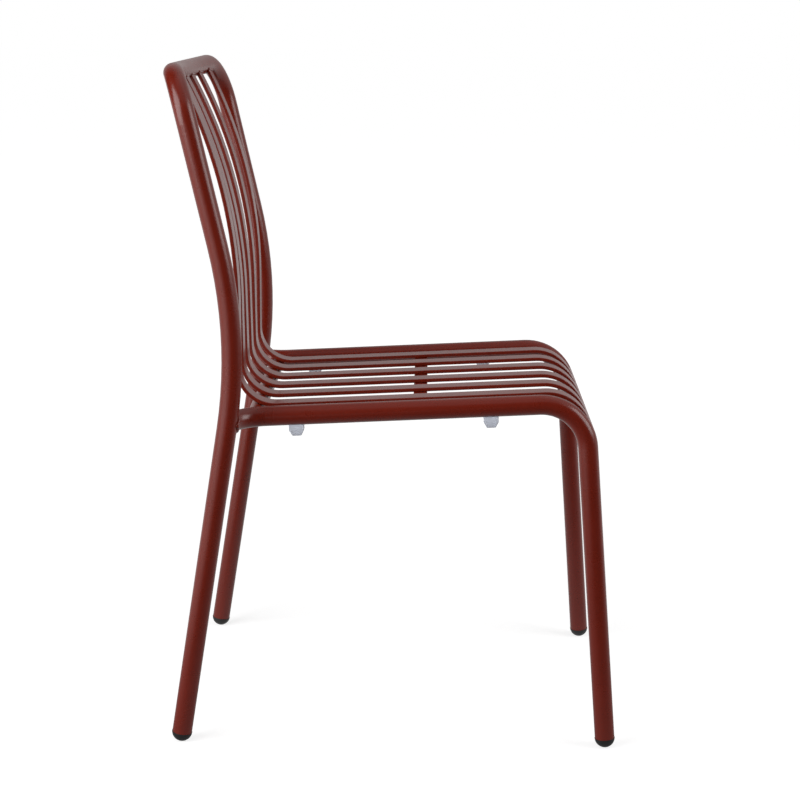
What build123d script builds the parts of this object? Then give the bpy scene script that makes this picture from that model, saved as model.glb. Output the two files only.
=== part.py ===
"""Stacking side chair: bent round tube frame, six flat slats, foot plugs and stacking bumpers."""

import os
from math import cos, degrees, radians, sin, sqrt, tan

from build123d import *

os.makedirs("parts", exist_ok=True)

# Tubes and bars
TUBE_D = 25.0
TUBE_WALL = 1.5
REAR_CROSS_D = 20.0
MIDDLE_BAR_W = 17.0
MIDDLE_BAR_H = 12.0
BAR_WALL = 1.5

# Back frame, seen from the side and from the front
REAR_HALF_WIDTH = 215.0
REAR_LEG_RAKE = 8.3
BACK_LEAN = 13.7
BACK_BEND_R = 590.0
BACK_BEND_Z = 523.0
TOP_CORNER_Z = 837.0
TOP_CORNER_R = 60.0

# The top rail is bowed backward: its turn at each end, and the straight run between the bow and each corner
BOW_TURN = 9.4
BOW_STRAIGHT = 0.66

# Side tubes: seat rail, front leg and the turned out rear end
RAIL_INSET = 33.0
RAIL_BACK_Z = 416.0
RAIL_RISE = 3.7
FOOT_SPACING = 541.7
FRONT_LEG_RAKE = 5.35
FRONT_SPLAY = 21.5
FRONT_BEND_R = 58.0
FLARE_ANGLE = 65.0
FLARE_R = 45.0

# Cross members, by their distance in front of the rear feet or their place round the front bend
REAR_CROSS_F = 90.0
MIDDLE_BAR_F = 296.0
FRONT_CROSS_TURN = 70.0

# Slats
SLAT_COUNT = 6
SLAT_MARGIN = 44.5
SLAT_W = 25.0
SLAT_T = 5.0
SLAT_SET_BACK = 4.1
SLAT_SEAT_F = 66.8
SEAT_BEND_R = 46.0
SLAT_RISE_LEAN = 2.0
SLAT_BEND_SHARE = 0.6796
SLAT_TOP_FRONT = 6.43
SLAT_TOP_DROP = 4.8
SLAT_RUN_IN = 0.5
SLAT_KNEE_R = 54.0

# Foot plugs
DOME_H = 12.5
DOME_LIP = 0.4
WEAR_FLAT = 0.5
STEM_L = 18.0
STEM_WALL = 2.0
RIB_COUNT = 3
RIB_H = 1.2
RIB_GAP = 0.8

# Stacking bumpers
BUMPER_STATIONS = (142.0, 383.0)
BUMPER_L = 18.6
BUMPER_W = 13.0
BUMPER_TIP_L = 11.0
BUMPER_TIP_W = 8.0
BUMPER_DROP = 13.5
BUMPER_STRAIGHT = 0.45
BUMPER_STEM_D = 6.0
BUMPER_HEAD_D = 8.4
BUMPER_HEAD_H = 3.0
HEAD_CLEARANCE = 0.3

# Clearance kept at coped ends, where a wall would thin out to nothing
COPE_STOP = 2.5

TUBE_R = TUBE_D / 2
BORE_R = TUBE_R - TUBE_WALL
SIDES = {"left": 1, "right": -1}
rail_half_width = REAR_HALF_WIDTH - RAIL_INSET
front_foot_half_width = rail_half_width + FRONT_SPLAY
slat_pitch = 2 * (rail_half_width - SLAT_MARGIN) / (SLAT_COUNT - 1)


def side_point(f, z):
    """A point of the side view: f in front of the rear feet at floor level, z above the floor."""
    return Vector(0, -f, z)


def crossing(point_a, direction_a, point_b, direction_b):
    """Where two lines of the side view meet."""
    gap = point_b - point_a
    cross = direction_a.Y * direction_b.Z - direction_a.Z * direction_b.Y
    return point_a + direction_a * ((gap.Y * direction_b.Z - gap.Z * direction_b.Y) / cross)


def bend(before, corner, after, radius):
    """Start, middle, end and centre of the arc that rounds a corner."""
    back = (before - corner).normalized()
    ahead = (after - corner).normalized()
    half = radians(back.get_angle(ahead) / 2)
    inward = (back + ahead).normalized()
    run = radius / tan(half)
    centre = corner + inward * (radius / sin(half))
    return corner + back * run, centre - inward * radius, corner + ahead * run, centre


def draw_bent(points, radii):
    """Straight runs and tangent arcs through the points, drawn into the open line."""
    start = points[0]
    for before, corner, after, radius in zip(points, points[1:], points[2:], radii):
        first, middle, last, _ = bend(before, corner, after, radius)
        Line(start, first)
        ThreePointArc(first, middle, last)
        start = last
    Line(start, points[-1])


def end_plane(wire):
    """Plane square to the start of a wire."""
    return Plane(origin=wire @ 0, z_dir=wire % 0)


def rod(wire, radius):
    """Solid round bar along a wire: the space that a tube fills, for coping what meets it."""
    return sweep(end_plane(wire) * Circle(radius), path=wire)


def save(piece, name):
    """Label a finished piece and write it."""
    piece.part.label = name
    export_step(piece.part, f"parts/{name}.step")


# Lines of the side view
leg_up = side_point(sin(radians(REAR_LEG_RAKE)), cos(radians(REAR_LEG_RAKE)))
back_up = side_point(-sin(radians(BACK_LEAN)), cos(radians(BACK_LEAN)))
rail_forward = side_point(cos(radians(RAIL_RISE)), sin(radians(RAIL_RISE)))
rail_normal = side_point(-sin(radians(RAIL_RISE)), cos(radians(RAIL_RISE)))
front_down = side_point(sin(radians(FRONT_LEG_RAKE)), -cos(radians(FRONT_LEG_RAKE)))

rear_floor = side_point(0, 0)
front_floor = side_point(FOOT_SPACING, 0)
back_kink = leg_up * (BACK_BEND_Z / leg_up.Z)
rail_back = leg_up * (RAIL_BACK_Z / leg_up.Z)
back_top = back_kink + back_up * ((TOP_CORNER_Z - BACK_BEND_Z) / back_up.Z)
front_corner = crossing(rail_back, rail_forward, front_floor, front_down)

# Feet: a domed plug closes each leg, and its tip is worn flat where it stands
dome_r = ((TUBE_R + DOME_LIP) ** 2 + DOME_H**2) / (2 * DOME_H)
dome_centre_z = dome_r - WEAR_FLAT
dome_rise = dome_r - DOME_H

# Bow of the top rail, square to the leaning back
back_front = side_point(cos(radians(BACK_LEAN)), sin(radians(BACK_LEAN)))
bow_run = REAR_HALF_WIDTH / cos(radians(BOW_TURN)) - TOP_CORNER_R - BOW_STRAIGHT
bow_r = bow_run / tan(radians(BOW_TURN))
bow_corner = back_top - back_front * (REAR_HALF_WIDTH * tan(radians(BOW_TURN)))
rail_middle = bow_corner + back_front * (bow_r / cos(radians(BOW_TURN)) - bow_r)

# Middle of the chair's depth, from the back of the top rail to the lips of the front plugs, is the origin
front_tilt = radians(FRONT_LEG_RAKE)
lip_reach = (TUBE_R + DOME_LIP) * cos(front_tilt) + dome_rise * sin(front_tilt) - dome_centre_z * tan(front_tilt)
shift = Vector(0, (FOOT_SPACING + lip_reach - rail_middle.Y - TUBE_R) / 2, 0)


def place(point, x):
    """A point of the side view, set at x across the chair, in the chair's own frame."""
    return Vector(x, point.Y, point.Z) + shift


def leg_end(floor_point, upward):
    """Centre of a foot's dome on a leg line, and the end of the tube on the dome."""
    centre = floor_point + upward * (dome_centre_z / upward.Z)
    return centre, centre - upward * dome_rise


# Tube paths
rear_feet = {}
front_feet = {}
for side, sign in SIDES.items():
    rear_feet[side] = (place(rear_floor, sign * REAR_HALF_WIDTH), leg_up)
    foot = place(front_floor, sign * front_foot_half_width)
    front_feet[side] = (foot, (place(front_corner, sign * rail_half_width) - foot).normalized())

back_half = {}
for side, sign in SIDES.items():
    x = sign * REAR_HALF_WIDTH
    back_half[side] = [leg_end(*rear_feet[side])[1], place(back_kink, x), place(back_top, x)]

with BuildLine() as back_path:
    draw_bent(
        back_half["left"] + [place(bow_corner, 0)] + back_half["right"][::-1],
        (BACK_BEND_R, TOP_CORNER_R, bow_r, TOP_CORNER_R, BACK_BEND_R),
    )
back_wire = back_path.wire()
back_space = rod(back_wire, TUBE_R)

flare_reach = RAIL_INSET / tan(radians(FLARE_ANGLE))
flare_corner = rail_back + rail_forward * flare_reach
side_wires = {}
side_spaces = {}
for side, sign in SIDES.items():
    corner = place(flare_corner, sign * rail_half_width)
    joint = place(rail_back, sign * REAR_HALF_WIDTH)
    stop = joint + (corner - joint).normalized() * COPE_STOP
    knee = place(front_corner, sign * rail_half_width)
    with BuildLine() as side_path:
        draw_bent([stop, corner, knee, leg_end(*front_feet[side])[1]], (FLARE_R, FRONT_BEND_R))
    side_wires[side] = side_path.wire()
    side_spaces[side] = rod(side_wires[side], TUBE_R)

# Middle line of a slat: along the seat under the tops of the rails, up at the seat bend and back to the top rail
slat_offset = TUBE_R - SLAT_SET_BACK - SLAT_T / 2
knee_front = side_point(cos(radians(FRONT_LEG_RAKE)), sin(radians(FRONT_LEG_RAKE)))
slat_rise = side_point(-sin(radians(SLAT_RISE_LEAN)), cos(radians(SLAT_RISE_LEAN)))
slat_rail = rail_back + rail_normal * slat_offset
slat_front = front_floor + knee_front * slat_offset
slat_seat = crossing(slat_rail, rail_forward, side_point(SLAT_SEAT_F, 0), side_point(0, 1))
slat_top = rail_middle + back_front * SLAT_TOP_FRONT - back_up * SLAT_TOP_DROP
slat_kink = slat_seat + slat_rise * (SLAT_BEND_SHARE * (slat_top.Z - slat_seat.Z) / slat_rise.Z)
slat_up = slat_top - slat_kink
slat_back_r = (slat_up.length - SLAT_RUN_IN) / tan(radians(slat_rise.get_angle(slat_up) / 2))
slat_knee = crossing(slat_rail, rail_forward, slat_front, front_down)

# Front cross tube, on the front bend of the side tubes
knee_centre = bend(rail_back, front_corner, front_floor, FRONT_BEND_R)[3]
knee_outward = rail_normal * cos(radians(FRONT_CROSS_TURN)) + rail_forward * sin(radians(FRONT_CROSS_TURN))
front_cross = knee_centre + knee_outward * FRONT_BEND_R

# Front bend of the slats, tighter than the rails' bend, which ends inside the front cross tube
knee_start, _, _, slat_knee_centre = bend(slat_seat, slat_knee, slat_front, SLAT_KNEE_R)
start_arm = knee_start - slat_knee_centre
end_arm = (front_cross - slat_knee_centre).normalized() * SLAT_KNEE_R
slat_end = slat_knee_centre + end_arm
slat_knee_middle = slat_knee_centre + (start_arm + end_arm).normalized() * SLAT_KNEE_R
seat_bend_centre = bend(slat_kink, slat_seat, slat_knee, SEAT_BEND_R)[3]


def swung(point, x):
    """A point of a slat's back, swung about the seat corner as the bow of the top rail needs at x."""
    bow_loss = bow_r - sqrt(bow_r**2 - x**2)
    arm = point - slat_seat
    swing = bow_loss / (slat_top - slat_seat).length
    return slat_seat + arm.rotate(Axis.X, degrees(swing))


# Middle support bar and rear cross tube, both set against the undersides of the slats
slat_under = rail_back + rail_normal * (slat_offset - SLAT_T / 2)
middle_bar = slat_under - rail_normal * (MIDDLE_BAR_H / 2)
middle_bar += rail_forward * ((MIDDLE_BAR_F + middle_bar.Y) / -rail_forward.Y)
rear_cross_reach = SEAT_BEND_R + SLAT_T / 2 + REAR_CROSS_D / 2
rear_cross_drop = sqrt(rear_cross_reach**2 - (REAR_CROSS_F + seat_bend_centre.Y) ** 2)
rear_cross = side_point(REAR_CROSS_F, seat_bend_centre.Z - rear_cross_drop)

# Bumper stations on the seat rails, with the straight down direction of the rail's underside
bumper_points = {}
for side, sign in SIDES.items():
    for end, f in zip(("rear", "front"), BUMPER_STATIONS):
        on_rail = rail_back + rail_forward * ((f + rail_back.Y) / -rail_forward.Y)
        bumper_points[f"stacking_bumper_{end}_{side}"] = (side, place(on_rail, sign * rail_half_width))


def under_rail(point):
    """Plane at a rail's axis that faces the underside of the rail."""
    return Plane(origin=point, x_dir=(1, 0, 0), z_dir=-rail_normal)


# Back frame
with BuildPart() as back_frame:
    with BuildSketch(end_plane(back_wire)):
        Circle(TUBE_R)
    sweep(path=back_wire)
    with BuildSketch(end_plane(back_wire)):
        Circle(BORE_R)
    sweep(path=back_wire, mode=Mode.SUBTRACT)
save(back_frame, "back_frame")

# Side tubes, coped to the uprights, with holes for the bumper stems
for side in SIDES:
    with BuildPart() as side_tube:
        with BuildSketch(end_plane(side_wires[side])):
            Circle(TUBE_R)
        sweep(path=side_wires[side])
        with BuildSketch(end_plane(side_wires[side])):
            Circle(BORE_R)
        sweep(path=side_wires[side], mode=Mode.SUBTRACT)
        add(back_space, mode=Mode.SUBTRACT)
        for bumper_side, point in bumper_points.values():
            if bumper_side == side:
                with BuildSketch(under_rail(point)):
                    Circle(BUMPER_STEM_D / 2)
                extrude(amount=TUBE_D, mode=Mode.SUBTRACT)
    save(side_tube, f"{side}_side_tube")

# Round cross members, coped to both side tubes
for name, centre, diameter, wall in (
    ("front_cross_tube", front_cross, TUBE_D, TUBE_WALL),
    ("rear_cross_tube", rear_cross, REAR_CROSS_D, BAR_WALL),
):
    with BuildPart() as cross_member:
        with BuildSketch(Plane(origin=place(centre, 0), z_dir=(1, 0, 0))):
            Circle(diameter / 2)
            Circle(diameter / 2 - wall, mode=Mode.SUBTRACT)
        extrude(amount=rail_half_width, both=True)
        for side in SIDES:
            add(side_spaces[side], mode=Mode.SUBTRACT)
    save(cross_member, name)

# Middle support bar, a rectangular tube coped to both side tubes
with BuildPart() as middle_support_bar:
    with BuildSketch(Plane(origin=place(middle_bar, 0), x_dir=rail_forward, z_dir=(1, 0, 0))):
        Rectangle(MIDDLE_BAR_W, MIDDLE_BAR_H)
        Rectangle(MIDDLE_BAR_W - 2 * BAR_WALL, MIDDLE_BAR_H - 2 * BAR_WALL, mode=Mode.SUBTRACT)
    extrude(amount=rail_half_width, both=True)
    for side in SIDES:
        add(side_spaces[side], mode=Mode.SUBTRACT)
save(middle_support_bar, "middle_support_bar")

# Slats, coped to the top rail and the front cross tube
with BuildLine() as front_cross_path:
    Line(place(front_cross, -rail_half_width), place(front_cross, rail_half_width))
front_cross_space = rod(front_cross_path.wire(), TUBE_R)

for index in range(SLAT_COUNT):
    x = (index - (SLAT_COUNT - 1) / 2) * slat_pitch
    with BuildPart() as slat:
        with BuildLine() as slat_path:
            back_run = [swung(slat_top, x), swung(slat_kink, x), slat_seat, knee_start]
            draw_bent([place(point, x) for point in back_run], (slat_back_r, SEAT_BEND_R))
            ThreePointArc(place(knee_start, x), place(slat_knee_middle, x), place(slat_end, x))
        slat_wire = slat_path.wire()
        with BuildSketch(Plane(origin=slat_wire @ 0, x_dir=(1, 0, 0), z_dir=slat_wire % 0)):
            Rectangle(SLAT_W, SLAT_T)
        sweep(path=slat_wire)
        add(back_space, mode=Mode.SUBTRACT)
        add(front_cross_space, mode=Mode.SUBTRACT)
    save(slat, f"slat_{index + 1}")

# Foot plugs: dome, hollow ribbed stem and worn tip
feet = {f"foot_plug_rear_{side}": rear_feet[side] for side in SIDES}
feet.update({f"foot_plug_front_{side}": front_feet[side] for side in SIDES})
for name, (floor_point, upward) in feet.items():
    dome_centre, tube_end = leg_end(floor_point, upward)
    seat = Plane(origin=tube_end, z_dir=upward)
    with BuildPart() as foot_plug:
        with Locations(Location(dome_centre)):
            Sphere(dome_r)
        split(bisect_by=seat, keep=Keep.BOTTOM)
        with BuildSketch(seat):
            Circle(BORE_R - RIB_GAP)
        extrude(amount=STEM_L)
        for rib in range(RIB_COUNT):
            with BuildSketch(seat.offset((rib + 1) * STEM_L / (RIB_COUNT + 1))):
                Circle(BORE_R)
            extrude(amount=RIB_H)
        with BuildSketch(seat):
            Circle(BORE_R - RIB_GAP - STEM_WALL)
        extrude(amount=STEM_L, mode=Mode.SUBTRACT)
        split(bisect_by=Plane.XY, keep=Keep.TOP)
    save(foot_plug, name)

# Stacking bumpers: tapered body with a saddle top, and a headed stem through the rail's wall
head_base = sqrt(BORE_R**2 - (BUMPER_HEAD_D / 2) ** 2) - HEAD_CLEARANCE
for name, (side, point) in bumper_points.items():
    down = under_rail(point)
    with BuildPart() as bumper:
        with BuildSketch(down):
            Rectangle(BUMPER_W, BUMPER_L)
        extrude(amount=TUBE_R + BUMPER_DROP * BUMPER_STRAIGHT)
        with BuildSketch(down.offset(TUBE_R + BUMPER_DROP * BUMPER_STRAIGHT)):
            Rectangle(BUMPER_W, BUMPER_L)
        with BuildSketch(down.offset(TUBE_R + BUMPER_DROP)):
            Rectangle(BUMPER_TIP_W, BUMPER_TIP_L)
        loft()
        add(side_spaces[side], mode=Mode.SUBTRACT)
        with BuildSketch(down.offset(head_base)):
            Circle(BUMPER_STEM_D / 2)
        extrude(amount=TUBE_R + BUMPER_DROP / 2 - head_base)
        with BuildSketch(down.offset(head_base - BUMPER_HEAD_H)):
            Circle(BUMPER_HEAD_D / 2)
        extrude(amount=BUMPER_HEAD_H)
    save(bumper, name)
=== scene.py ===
"""Stacking side chair: powder coated tube frame and slats, black foot plugs and clear stacking bumpers."""

from math import atan2, cos, radians, sin
from typing import NamedTuple

import bmesh
import bpy
from bpy.props import FloatProperty, FloatVectorProperty, IntProperty, PointerProperty
from mathutils import Matrix, Vector
from mathutils.bvhtree import BVHTree


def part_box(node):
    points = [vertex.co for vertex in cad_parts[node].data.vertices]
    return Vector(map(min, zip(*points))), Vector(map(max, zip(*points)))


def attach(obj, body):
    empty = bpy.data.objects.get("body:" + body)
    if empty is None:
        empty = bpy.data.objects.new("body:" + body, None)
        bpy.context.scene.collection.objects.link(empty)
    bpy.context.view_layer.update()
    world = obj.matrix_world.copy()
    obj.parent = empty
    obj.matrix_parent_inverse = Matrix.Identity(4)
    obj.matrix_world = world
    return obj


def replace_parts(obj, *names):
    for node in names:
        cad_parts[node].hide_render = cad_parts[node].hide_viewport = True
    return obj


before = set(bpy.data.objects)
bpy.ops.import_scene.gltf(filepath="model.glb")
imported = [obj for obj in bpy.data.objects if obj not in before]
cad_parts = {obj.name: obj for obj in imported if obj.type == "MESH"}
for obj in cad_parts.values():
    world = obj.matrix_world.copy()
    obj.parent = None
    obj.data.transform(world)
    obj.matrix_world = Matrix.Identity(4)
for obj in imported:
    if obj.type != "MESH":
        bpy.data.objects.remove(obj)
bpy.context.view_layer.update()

bl_info = {
    "name": "Stacking Side Chair",
    "version": (1, 0, 0),
    "blender": (4, 5, 0),
    "location": "View3D > Sidebar > Side Chair",
    "description": "Finishes the packed side chair and sets up its studio",
    "category": "Object",
}


class Fade(NamedTuple):
    """Smooth step from a dark to a light strength as a value goes from low to high."""

    low: float
    high: float
    dark: float
    light: float


class SoftBox(NamedTuple):
    """Rectangular lamp: where it stands, where it points, its size in metres and its power in watts."""

    place: tuple
    target: tuple
    width: float
    height: float
    power: float


# Pieces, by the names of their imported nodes
TUBES = (
    "back_frame",
    "left_side_tube",
    "right_side_tube",
    "front_cross_tube",
    "middle_support_bar",
    "rear_cross_tube",
)
SLATS = tuple(name for name in sorted(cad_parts) if name.startswith("slat_"))
FOOT_PLUGS = tuple(name for name in sorted(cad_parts) if name.startswith("foot_plug_"))
BUMPERS = tuple(name for name in sorted(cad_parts) if name.startswith("stacking_bumper_"))

# Left rail joint: the point on the upright's centre line, and the way the rail's end runs to it
RAIL_JOINT = Vector((0.215, 0.19864, 0.416))
RAIL_END_RUN = Vector((0.033, 0.015356, -0.000993))
TUBE_RADIUS = 0.0125

# Where the beads start before they slide along the tube: back from the rail joint, and out from the middle
RAIL_BEAD_START = 0.028
CROSS_BEAD_START = 0.15

# Shape of a weld bead. The slide is measured just inside the tube's surface
BEAD_SIDES = 12
STEPS_PER_RIPPLE = 6
RIPPLE_SWELL = 0.07
SLIDE_RING_SHARE = 0.98

# Shape of a slat's tack. An odd number of bands leaves no vertices at its middle, where it is drawn out
TACK_SEGMENTS = 16
TACK_BANDS = 9

# A slat's top corners are looked for this near to its two sides
SLAT_SIDE_DEPTH = 0.001

# Joining and rounding of copied shapes
MERGE_DISTANCE = 0.00001
FLAT_ANGLE = radians(0.3)
SLIVER_WIDTH = 0.000002
EDGE_SEGMENTS = 4
SHARP_ANGLE = radians(38.0)

# A slat's long edges lie between a face that looks sideways and one that hardly does, by the normals' X
SIDE_FACE_TURN = 0.98
BROAD_FACE_TURN = 0.2

# A bumper's edges are rounded where they are longer than this and turn more than this
BODY_EDGE_LENGTH = 0.004
BODY_EDGE_ANGLE = radians(35.0)

# Most of a noise's values lie between these
NOISE_LOW = 0.3
NOISE_HIGH = 0.7

# Powder coat: patches of colour and of sheen, and how far each strays from the mean
COAT_CLOUD_WIDTH = 0.05
COAT_TINT_SPREAD = 0.03
COAT_SHEEN_WIDTH = 0.02
COAT_SHEEN_SPREAD = 0.015

# Foot plugs: scuffs with their darkest and lightest shares of the colour, and the moulded grain
SCUFF_WIDTH = 0.004
SCUFF_DARK = 0.85
SCUFF_LIGHT = 1.5
PLUG_ROUGHNESS = (0.38, 0.55)
PLUG_GRAIN_WIDTH = 0.0006
PLUG_GRAIN_DEPTH = 0.00002

# Bumpers: clouds in the clear plastic
BUMPER_CLOUD_WIDTH = 0.012
BUMPER_TINT_SPREAD = 0.04
BUMPER_ROUGHNESS = (0.22, 0.34)
BUMPER_IOR = 1.45

# Floor: its glow by the distance from the chair's middle, and a painted reflection by the place on it: a
# glow that shows only in the gloss
FLOOR_GREY = (0.40, 0.40, 0.40, 1.0)
FLOOR_GLOW = Fade(low=0.3, high=2.4, dark=0.76, light=0.935)
MIRRORED_FAR_SIDE = Fade(low=-0.9, high=0.6, dark=0.03, light=0.70)
MIRRORED_REAR = Fade(low=0.15, high=1.2, dark=0.0, light=0.8)

# Backdrop in the gloss, by the cosine of the angle from its middle
BACKDROP = Fade(low=0.1, high=0.75, dark=0.012, light=0.58)

WHITE = (1.0, 1.0, 1.0, 1.0)
LAMPS = {
    "top_soft_box": SoftBox(
        place=(-0.6, -0.4, 3.2),
        target=(0.0, 0.0, 0.4),
        width=3.0,
        height=3.0,
        power=11.0,
    ),
    "rear_soft_box": SoftBox(
        place=(-1.3, 2.0, 1.35),
        target=(0.0, 0.1, 0.6),
        width=2.1,
        height=2.2,
        power=67.0,
    ),
    "front_soft_box": SoftBox(
        place=(-0.6, -2.6, 1.8),
        target=(0.0, 0.1, 0.7),
        width=1.7,
        height=2.0,
        power=46.0,
    ),
}

# Width of the camera's sensor, in millimetres
SENSOR_WIDTH = 36.0


class CoatSettings(bpy.types.PropertyGroup):
    """Powder coat of the tubes and slats."""

    color: FloatVectorProperty(
        name="Colour",
        description="Base colour of the coat",
        subtype="COLOR",
        size=3,
        min=0.0,
        max=1.0,
        default=(0.150, 0.0105, 0.0030),
    )
    roughness: FloatProperty(
        name="Roughness",
        description="Mean roughness of the coat",
        subtype="FACTOR",
        min=0.0,
        max=1.0,
        default=0.28,
    )
    grain: FloatProperty(
        name="Grain",
        description="Width of the fine grain in the coat",
        subtype="DISTANCE",
        min=0.0002,
        max=0.01,
        default=0.0011,
    )
    grain_depth: FloatProperty(
        name="Grain depth",
        description="Height of the fine grain in the coat",
        subtype="DISTANCE",
        min=0.0,
        max=0.001,
        default=0.000008,
    )


class PlasticSettings(bpy.types.PropertyGroup):
    """Plastics of the foot plugs and the bumpers."""

    plug_color: FloatVectorProperty(
        name="Plug colour",
        description="Colour of the foot plugs",
        subtype="COLOR",
        size=3,
        min=0.0,
        max=1.0,
        default=(0.009, 0.0087, 0.009),
    )
    bumper_color: FloatVectorProperty(
        name="Bumper colour",
        description="Tint of the clear bumpers",
        subtype="COLOR",
        size=3,
        min=0.0,
        max=1.0,
        default=(0.85, 0.89, 1.0),
    )
    bumper_clearness: FloatProperty(
        name="Bumper clearness",
        description="Share of the light that goes through a bumper",
        subtype="FACTOR",
        min=0.0,
        max=1.0,
        default=0.30,
    )


class ShapeSettings(bpy.types.PropertyGroup):
    """Softened edges and weld beads."""

    slat_edge: FloatProperty(
        name="Slat edge",
        description="Rounding of the long edges of a slat",
        subtype="DISTANCE",
        min=0.0001,
        max=0.0024,
        default=0.0013,
    )
    bumper_edge: FloatProperty(
        name="Bumper edge",
        description="Rounding of the edges of a bumper",
        subtype="DISTANCE",
        min=0.0001,
        max=0.003,
        default=0.0012,
    )
    bead_width: FloatProperty(
        name="Bead width",
        description="Thickness of the weld beads where the rails meet the uprights",
        subtype="DISTANCE",
        min=0.001,
        max=0.01,
        default=0.0056,
    )
    cross_bead_width: FloatProperty(
        name="Cross bead width",
        description="Thickness of the weld beads at the ends of the rear cross tube",
        subtype="DISTANCE",
        min=0.001,
        max=0.01,
        default=0.0024,
    )
    tack_width: FloatProperty(
        name="Tack width",
        description="Thickness of the weld beads where the slats meet the top rail",
        subtype="DISTANCE",
        min=0.001,
        max=0.01,
        default=0.0032,
    )
    ripples: IntProperty(
        name="Ripples",
        description="Ripples round one weld bead",
        min=4,
        max=60,
        default=22,
    )


class StudioSettings(bpy.types.PropertyGroup):
    """Camera, floor and lights."""

    camera_place: FloatVectorProperty(
        name="Camera place",
        description="Where the camera stands",
        subtype="TRANSLATION",
        size=3,
        default=(-2.3102, -0.03876, 0.92393),
    )
    camera_turn: FloatVectorProperty(
        name="Camera turn",
        description="How the camera is turned",
        subtype="EULER",
        size=3,
        default=(radians(77.2650), radians(-1.0686), radians(-89.0231)),
    )
    lens: FloatProperty(
        name="Lens",
        description="Focal length of the camera, in millimetres",
        min=20.0,
        max=300.0,
        default=79.374,
    )
    floor_size: FloatProperty(
        name="Floor size",
        description="Width of the studio floor",
        subtype="DISTANCE",
        min=2.0,
        max=100.0,
        default=60.0,
    )
    room_light: FloatProperty(
        name="Room light",
        description="Strength of the even light from all round",
        min=0.0,
        max=5.0,
        default=0.16,
    )
    backdrop_side: FloatVectorProperty(
        name="Backdrop side",
        description="Direction in which the gloss shows the pale backdrop",
        subtype="DIRECTION",
        size=3,
        default=(0.80, -0.55, 0.2),
    )
    light_level: FloatProperty(
        name="Light level",
        description="Scales all the studio lamps",
        min=0.0,
        max=5.0,
        default=1.0,
    )


def cleared_tree(owner):
    """Empty node tree of a material or a world."""
    owner.use_nodes = True
    owner.node_tree.nodes.clear()
    return owner.node_tree


def new_material(name):
    """Node material with its surface shader joined up, and its texture coordinates."""
    material = bpy.data.materials.new(name)
    tree = cleared_tree(material)
    output = tree.nodes.new("ShaderNodeOutputMaterial")
    surface = tree.nodes.new("ShaderNodeBsdfPrincipled")
    place = tree.nodes.new("ShaderNodeTexCoord")
    tree.links.new(surface.outputs["BSDF"], output.inputs["Surface"])
    return material, surface, place


def add_noise(material, place, width, detail=2.0, roughness=0.5):
    """Noise whose patches are about as wide as asked."""
    noise = material.node_tree.nodes.new("ShaderNodeTexNoise")
    noise.inputs["Scale"].default_value = 1.0 / width
    noise.inputs["Detail"].default_value = detail
    noise.inputs["Roughness"].default_value = roughness
    material.node_tree.links.new(place.outputs["Object"], noise.inputs["Vector"])
    return noise


def add_roughness(material, surface, noise, low, high):
    """Roughness that wanders over a range with a noise."""
    spread = material.node_tree.nodes.new("ShaderNodeMapRange")
    spread.inputs["From Min"].default_value = NOISE_LOW
    spread.inputs["From Max"].default_value = NOISE_HIGH
    spread.inputs["To Min"].default_value = low
    spread.inputs["To Max"].default_value = high
    material.node_tree.links.new(noise.outputs["Fac"], spread.inputs["Value"])
    material.node_tree.links.new(spread.outputs["Result"], surface.inputs["Roughness"])


def add_tint(material, surface, noise, color, dark, light):
    """Base colour that wanders between a dark and a light share of a colour with a noise."""
    ramp = material.node_tree.nodes.new("ShaderNodeValToRGB")
    first, last = ramp.color_ramp.elements
    first.position = NOISE_LOW
    first.color = (*(color * dark), 1.0)
    last.position = NOISE_HIGH
    last.color = (*(color * light), 1.0)
    material.node_tree.links.new(noise.outputs["Fac"], ramp.inputs["Fac"])
    material.node_tree.links.new(ramp.outputs["Color"], surface.inputs["Base Color"])


def add_bump(material, surface, noise, depth):
    """Surface relief from a noise."""
    bump = material.node_tree.nodes.new("ShaderNodeBump")
    bump.inputs["Distance"].default_value = depth
    bump.inputs["Strength"].default_value = 1.0
    material.node_tree.links.new(noise.outputs["Fac"], bump.inputs["Height"])
    material.node_tree.links.new(bump.outputs["Normal"], surface.inputs["Normal"])


def powder_coat(name, settings):
    """Satin powder coat: a fine grain, and soft changes of colour and sheen."""
    material, surface, place = new_material(name)
    color = Vector(settings.color)
    clouds = add_noise(material, place, COAT_CLOUD_WIDTH, detail=3.0)
    add_tint(material, surface, clouds, color, 1.0 - COAT_TINT_SPREAD, 1.0 + COAT_TINT_SPREAD)
    sheen = add_noise(material, place, COAT_SHEEN_WIDTH, detail=4.0)
    smoothest = settings.roughness - COAT_SHEEN_SPREAD
    roughest = settings.roughness + COAT_SHEEN_SPREAD
    add_roughness(material, surface, sheen, smoothest, roughest)
    grain = add_noise(material, place, settings.grain, detail=1.0)
    add_bump(material, surface, grain, settings.grain_depth)
    return material


def plug_plastic(settings):
    """Black moulded plastic with scuffs and a fine matt grain."""
    material, surface, place = new_material("plug_plastic")
    color = Vector(settings.plug_color)
    scuffs = add_noise(material, place, SCUFF_WIDTH, detail=5.0, roughness=0.6)
    add_tint(material, surface, scuffs, color, SCUFF_DARK, SCUFF_LIGHT)
    add_roughness(material, surface, scuffs, *PLUG_ROUGHNESS)
    grain = add_noise(material, place, PLUG_GRAIN_WIDTH)
    add_bump(material, surface, grain, PLUG_GRAIN_DEPTH)
    return material


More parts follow.
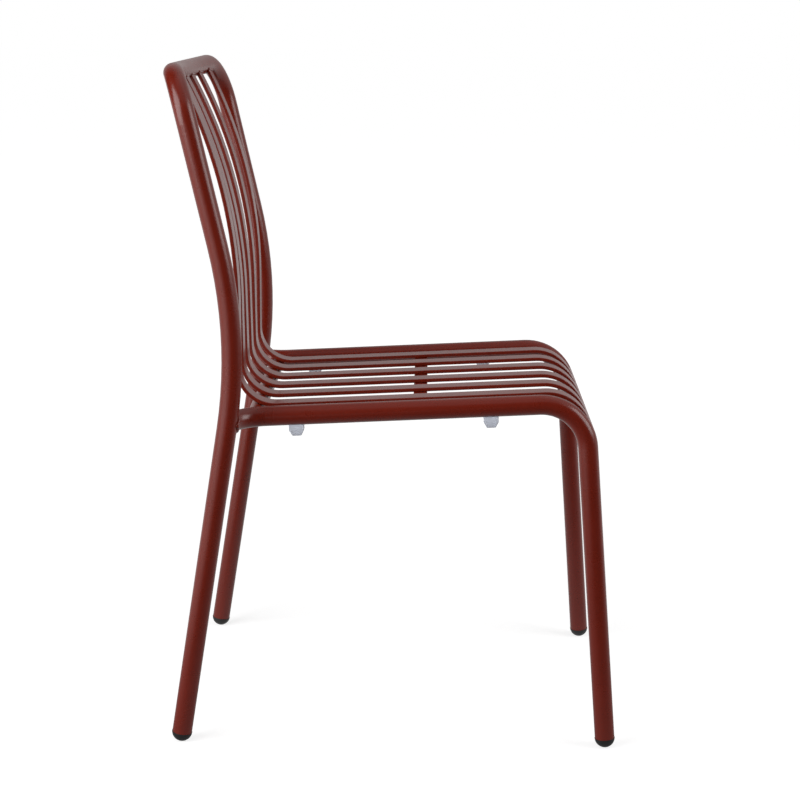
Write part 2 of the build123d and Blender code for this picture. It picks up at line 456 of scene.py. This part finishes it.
def bumper_plastic(settings):
    """Cloudy clear plastic."""
    material, surface, place = new_material("bumper_plastic")
    color = Vector(settings.bumper_color)
    clouds = add_noise(material, place, BUMPER_CLOUD_WIDTH, detail=1.0)
    add_tint(material, surface, clouds, color, 1.0 - BUMPER_TINT_SPREAD, 1.0 + BUMPER_TINT_SPREAD)
    add_roughness(material, surface, clouds, *BUMPER_ROUGHNESS)
    surface.inputs["Transmission Weight"].default_value = settings.bumper_clearness
    surface.inputs["IOR"].default_value = BUMPER_IOR
    return material


def dress(names, material):
    """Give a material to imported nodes."""
    for name in names:
        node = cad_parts[name]
        node.data.materials.clear()
        node.data.materials.append(material)


def joined_copy(name):
    """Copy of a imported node's shape with its loose triangles joined into plain faces."""
    shape = bmesh.new()
    shape.from_mesh(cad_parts[name].data)
    bmesh.ops.remove_doubles(shape, verts=shape.verts, dist=MERGE_DISTANCE)
    bmesh.ops.dissolve_limit(shape, angle_limit=FLAT_ANGLE, verts=shape.verts, edges=shape.edges)
    return shape


def round_edges(shape, edges, radius):
    """Round some edges of a shape and take out the slivers that this leaves."""
    bmesh.ops.bevel(
        shape,
        geom=edges,
        offset=radius,
        offset_type="OFFSET",
        segments=EDGE_SEGMENTS,
        profile=0.5,
        affect="EDGES",
        clamp_overlap=False,
        material=-1,
    )
    bmesh.ops.dissolve_degenerate(shape, dist=SLIVER_WIDTH, edges=shape.edges)


def finish_piece(shape, name, material):
    """Make a shape a smooth shaded piece of the chair."""
    bmesh.ops.recalc_face_normals(shape, faces=shape.faces)
    mesh = bpy.data.meshes.new(name)
    shape.to_mesh(mesh)
    shape.free()
    mesh.shade_smooth()
    mesh.set_sharp_from_angle(angle=SHARP_ANGLE)
    mesh.materials.append(material)
    piece = bpy.data.objects.new(name, mesh)
    bpy.context.scene.collection.objects.link(piece)
    weights = piece.modifiers.new("even_shading", "WEIGHTED_NORMAL")
    weights.keep_sharp = True
    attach(piece, "root")
    return piece


def weld_bead(name, start, along, ring, width, target, material):
    """Rippled bead round a tube's end, slid along the tube to the target that the end meets."""
    ripples = bpy.context.scene.chair_shape.ripples
    shape = bmesh.new()
    bmesh.ops.create_circle(shape, segments=BEAD_SIDES, radius=width / 2)
    stood_up = Matrix.Rotation(radians(90.0), 3, "X")
    bmesh.ops.rotate(shape, verts=shape.verts, cent=(0, 0, 0), matrix=stood_up)
    bmesh.ops.translate(shape, verts=shape.verts, vec=(ring, 0, 0))
    bmesh.ops.spin(
        shape,
        geom=shape.verts[:] + shape.edges[:],
        cent=(0, 0, 0),
        axis=(0, 0, 1),
        dvec=(0, 0, 0),
        angle=radians(360.0),
        steps=STEPS_PER_RIPPLE * ripples,
        use_merge=True,
        use_duplicate=False,
    )
    turn = along.to_track_quat("Z", "Y").to_matrix()
    wall = BVHTree.FromObject(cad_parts[target], bpy.context.evaluated_depsgraph_get())
    for vertex in shape.verts:
        angle = atan2(vertex.co.y, vertex.co.x)
        on_ring = Vector((cos(angle) * ring, sin(angle) * ring, 0.0))
        slide = wall.ray_cast(start + turn @ (on_ring * SLIDE_RING_SHARE), along)[3]
        if slide is None:
            raise RuntimeError(f"{name} doesn't reach {target}")
        swell = 1.0 + RIPPLE_SWELL * cos(ripples * angle)
        vertex.co = on_ring + (vertex.co - on_ring) * swell
        vertex.co.z += slide
    bmesh.ops.transform(shape, matrix=Matrix.Translation(start) @ turn.to_4x4(), verts=shape.verts)
    finish_piece(shape, name, material)


def slat_tack(name, slat, width, material):
    """Short bead in the corner where a slat's face meets the top rail."""
    radius = width / 2
    points = [vertex.co.copy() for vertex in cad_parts[slat].data.vertices]
    low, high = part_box(slat)
    left_side = [point for point in points if point.x > high[0] - SLAT_SIDE_DEPTH]
    right_side = [point for point in points if point.x < low[0] + SLAT_SIDE_DEPTH]
    left = max(left_side, key=lambda point: point.z)
    right = max(right_side, key=lambda point: point.z)
    half = (left - right).length / 2 - radius
    shape = bmesh.new()
    bmesh.ops.create_uvsphere(shape, u_segments=TACK_SEGMENTS, v_segments=TACK_BANDS, radius=radius)
    for vertex in shape.verts:
        vertex.co.z += half if vertex.co.z > 0.0 else -half
    turn = (left - right).to_track_quat("Z", "Y").to_matrix().to_4x4()
    bmesh.ops.transform(shape, matrix=Matrix.Translation((left + right) / 2) @ turn, verts=shape.verts)
    finish_piece(shape, name, material)


class SIDECHAIR_OT_frame_tubes(bpy.types.Operator):
    """Coat the bent tubes and the cross members"""

    bl_idname = "side_chair.frame_tubes"
    bl_label = "Frame Tubes"

    def execute(self, context):
        dress(TUBES, powder_coat("frame_coat", context.scene.chair_coat))
        return {"FINISHED"}


class SIDECHAIR_OT_slats(bpy.types.Operator):
    """Round the long edges of the slats and coat them"""

    bl_idname = "side_chair.slats"
    bl_label = "Slats"

    def execute(self, context):
        coat = powder_coat("slat_coat", context.scene.chair_coat)
        for name in SLATS:
            shape = joined_copy(name)
            edges = [edge for edge in shape.edges if self.is_long_edge(edge)]
            round_edges(shape, edges, context.scene.chair_shape.slat_edge)
            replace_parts(finish_piece(shape, f"soft_{name}", coat), name)
        return {"FINISHED"}

    def is_long_edge(self, edge):
        """True between a side and a broad face of a slat."""
        turns = sorted(abs(face.normal.x) for face in edge.link_faces)
        return len(turns) == 2 and turns[0] < BROAD_FACE_TURN and turns[1] > SIDE_FACE_TURN


class SIDECHAIR_OT_foot_plugs(bpy.types.Operator):
    """Give the foot plugs their black plastic"""

    bl_idname = "side_chair.foot_plugs"
    bl_label = "Foot Plugs"

    def execute(self, context):
        dress(FOOT_PLUGS, plug_plastic(context.scene.chair_plastics))
        return {"FINISHED"}


class SIDECHAIR_OT_bumpers(bpy.types.Operator):
    """Round the edges of the stacking bumpers and give them their clear plastic"""

    bl_idname = "side_chair.bumpers"
    bl_label = "Stacking Bumpers"

    def execute(self, context):
        plastic = bumper_plastic(context.scene.chair_plastics)
        for name in BUMPERS:
            shape = joined_copy(name)
            edges = [edge for edge in shape.edges if self.is_body_edge(edge)]
            round_edges(shape, edges, context.scene.chair_shape.bumper_edge)
            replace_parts(finish_piece(shape, f"soft_{name}", plastic), name)
        return {"FINISHED"}

    def is_body_edge(self, edge):
        """True at the straight corners of a bumper's body, below the rail."""
        long_enough = len(edge.link_faces) == 2 and edge.calc_length() > BODY_EDGE_LENGTH
        return long_enough and edge.calc_face_angle() > BODY_EDGE_ANGLE


class SIDECHAIR_OT_weld_beads(bpy.types.Operator):
    """Lay weld beads at the tube joints and at the tops of the slats"""

    bl_idname = "side_chair.weld_beads"
    bl_label = "Weld Beads"

    def execute(self, context):
        settings = context.scene.chair_shape
        coat = powder_coat("bead_coat", context.scene.chair_coat)
        for side, sign in (("left", 1), ("right", -1)):
            self.add_rail_bead(side, sign, settings.bead_width, coat)
            self.add_cross_bead(side, sign, settings.cross_bead_width, coat)
        for name in SLATS:
            slat_tack(f"{name}_tack", name, settings.tack_width, coat)
        return {"FINISHED"}

    def add_rail_bead(self, side, sign, width, coat):
        """Bead where a rail's rear end meets the upright."""
        mirror = Vector((sign, 1.0, 1.0))
        along = (RAIL_END_RUN * mirror).normalized()
        start = RAIL_JOINT * mirror - along * RAIL_BEAD_START
        weld_bead(f"rail_bead_{side}", start, along, TUBE_RADIUS, width, "back_frame", coat)

    def add_cross_bead(self, side, sign, width, coat):
        """Bead where the rear cross tube meets a rail."""
        low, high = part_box("rear_cross_tube")
        start = (Vector(low) + Vector(high)) / 2
        start.x = sign * CROSS_BEAD_START
        outward = Vector((sign, 0.0, 0.0))
        radius = (high[2] - low[2]) / 2
        weld_bead(f"rear_cross_bead_{side}", start, outward, radius, width, f"{side}_side_tube", coat)


def add_math(tree, kind, operation, *values):
    """Math node that works on the outputs of other nodes."""
    node = tree.nodes.new(kind)
    node.operation = operation
    for socket, value in zip(node.inputs, values):
        tree.links.new(value, socket)
    return node


def add_fade(tree, value, fade):
    """Strength that a fade gives for a value."""
    step = tree.nodes.new("ShaderNodeMapRange")
    step.interpolation_type = "SMOOTHSTEP"
    step.inputs["From Min"].default_value = fade.low
    step.inputs["From Max"].default_value = fade.high
    step.inputs["To Min"].default_value = fade.dark
    step.inputs["To Max"].default_value = fade.light
    tree.links.new(value, step.inputs["Value"])
    return step.outputs["Result"]


def choose(tree, share, first, second):
    """Mix of two shaders by a share."""
    mix = tree.nodes.new("ShaderNodeMixShader")
    tree.links.new(share, mix.inputs["Fac"])
    tree.links.new(first.outputs[0], mix.inputs[1])
    tree.links.new(second.outputs[0], mix.inputs[2])
    return mix


def show_by_ray(tree, output, lit, seen, mirrored):
    """Join up three looks: as light, as seen straight or through clear plastic, and in the gloss."""
    path = tree.nodes.new("ShaderNodeLightPath").outputs
    sight = (path["Is Camera Ray"], path["Is Transmission Ray"])
    straight = add_math(tree, "ShaderNodeMath", "MAXIMUM", *sight)
    plain = choose(tree, straight.outputs[0], lit, seen)
    shown = choose(tree, path["Is Glossy Ray"], plain, mirrored)
    tree.links.new(shown.outputs[0], output.inputs["Surface"])


def floor_material():
    """Pale matt floor that takes the chair's shadow, with a painted reflection: a glow of its own that
    shows only in the gloss.
    """
    material = bpy.data.materials.new("studio_floor")
    tree = cleared_tree(material)
    output = tree.nodes.new("ShaderNodeOutputMaterial")
    place = tree.nodes.new("ShaderNodeTexCoord").outputs["Object"]
    matt = tree.nodes.new("ShaderNodeBsdfDiffuse")
    matt.inputs["Color"].default_value = FLOOR_GREY
    distance = add_math(tree, "ShaderNodeVectorMath", "LENGTH", place)
    glow = tree.nodes.new("ShaderNodeEmission")
    tree.links.new(add_fade(tree, distance.outputs["Value"], FLOOR_GLOW), glow.inputs["Strength"])
    pale = tree.nodes.new("ShaderNodeAddShader")
    tree.links.new(matt.outputs[0], pale.inputs[0])
    tree.links.new(glow.outputs[0], pale.inputs[1])
    # Painted reflection: the floor glows in the gloss only, brighter toward the far side and toward the
    # rear
    split = tree.nodes.new("ShaderNodeSeparateXYZ")
    tree.links.new(place, split.inputs[0])
    far_side = add_fade(tree, split.outputs["X"], MIRRORED_FAR_SIDE)
    rear = add_fade(tree, split.outputs["Y"], MIRRORED_REAR)
    brighter = add_math(tree, "ShaderNodeMath", "MAXIMUM", far_side, rear)
    mirrored = tree.nodes.new("ShaderNodeEmission")
    tree.links.new(brighter.outputs[0], mirrored.inputs["Strength"])
    show_by_ray(tree, output, matt, pale, mirrored)
    return material


def white_background(tree, strength=1.0):
    """White background of the world."""
    background = tree.nodes.new("ShaderNodeBackground")
    background.inputs["Color"].default_value = WHITE
    background.inputs["Strength"].default_value = strength
    return background


def soft_box(name, box, level):
    """Large rectangular lamp that faces its target."""
    lamp = bpy.data.lights.new(name, "AREA")
    lamp.shape = "RECTANGLE"
    lamp.size = box.width
    lamp.size_y = box.height
    lamp.energy = box.power * level
    holder = bpy.data.objects.new(name, lamp)
    bpy.context.scene.collection.objects.link(holder)
    holder.location = box.place
    facing = Vector(box.target) - Vector(box.place)
    holder.rotation_euler = facing.to_track_quat("-Z", "Y").to_euler()


class SIDECHAIR_OT_studio(bpy.types.Operator):
    """Set up the floor, the lights and the camera"""

    bl_idname = "side_chair.studio"
    bl_label = "Studio"

    def execute(self, context):
        settings = context.scene.chair_studio
        self.add_floor(context, settings)
        self.add_world(context, settings)
        for name, box in LAMPS.items():
            soft_box(name, box, settings.light_level)
        self.add_camera(context, settings)
        context.scene.view_settings.view_transform = "Standard"
        return {"FINISHED"}

    def add_floor(self, context, settings):
        """Flat floor under the chair."""
        shape = bmesh.new()
        bmesh.ops.create_grid(shape, x_segments=1, y_segments=1, size=settings.floor_size / 2)
        mesh = bpy.data.meshes.new("studio_floor")
        shape.to_mesh(mesh)
        shape.free()
        mesh.materials.append(floor_material())
        floor = bpy.data.objects.new("studio_floor", mesh)
        context.scene.collection.objects.link(floor)

    def add_world(self, context, settings):
        """White room, with a pale backdrop that shows only in the gloss."""
        world = bpy.data.worlds.new("studio_world")
        context.scene.world = world
        tree = cleared_tree(world)
        output = tree.nodes.new("ShaderNodeOutputWorld")
        room = white_background(tree, settings.room_light)
        white = white_background(tree)
        backdrop = white_background(tree)
        direction = tree.nodes.new("ShaderNodeTexCoord").outputs["Generated"]
        toward = add_math(tree, "ShaderNodeVectorMath", "DOT_PRODUCT", direction)
        toward.inputs[1].default_value = Vector(settings.backdrop_side).normalized()
        tree.links.new(add_fade(tree, toward.outputs["Value"], BACKDROP), backdrop.inputs["Strength"])
        show_by_ray(tree, output, room, white, backdrop)

    def add_camera(self, context, settings):
        """Camera at the chair's right side."""
        lens = bpy.data.cameras.new("studio_camera")
        lens.lens = settings.lens
        lens.sensor_width = SENSOR_WIDTH
        camera = bpy.data.objects.new("studio_camera", lens)
        camera.location = settings.camera_place
        camera.rotation_euler = settings.camera_turn
        context.scene.collection.objects.link(camera)
        context.scene.camera = camera


SETTINGS = {
    "chair_coat": CoatSettings,
    "chair_plastics": PlasticSettings,
    "chair_shape": ShapeSettings,
    "chair_studio": StudioSettings,
}
OPERATORS = (
    SIDECHAIR_OT_frame_tubes,
    SIDECHAIR_OT_slats,
    SIDECHAIR_OT_foot_plugs,
    SIDECHAIR_OT_bumpers,
    SIDECHAIR_OT_weld_beads,
    SIDECHAIR_OT_studio,
)


class SIDECHAIR_PT_sidebar(bpy.types.Panel):
    """Steps that finish the chair"""

    bl_idname = "SIDECHAIR_PT_sidebar"
    bl_label = "Side Chair"
    bl_space_type = "VIEW_3D"
    bl_region_type = "UI"
    bl_category = "Side Chair"

    def draw(self, context):
        layout = self.layout
        for operator in OPERATORS:
            layout.operator(operator.bl_idname)
        for group, kind in SETTINGS.items():
            box = layout.box()
            for name in kind.__annotations__:
                box.prop(getattr(context.scene, group), name)


CLASSES = (*SETTINGS.values(), *OPERATORS, SIDECHAIR_PT_sidebar)


def register():
    for kind in CLASSES:
        bpy.utils.register_class(kind)
    for name, kind in SETTINGS.items():
        setattr(bpy.types.Scene, name, PointerProperty(type=kind))


def unregister():
    for name in SETTINGS:
        delattr(bpy.types.Scene, name)
    for kind in reversed(CLASSES):
        bpy.utils.unregister_class(kind)


def main():
    register()
    bpy.ops.side_chair.frame_tubes()
    bpy.ops.side_chair.slats()
    bpy.ops.side_chair.foot_plugs()
    bpy.ops.side_chair.bumpers()
    bpy.ops.side_chair.weld_beads()
    bpy.ops.side_chair.studio()


if __name__ == "__main__":
    main()
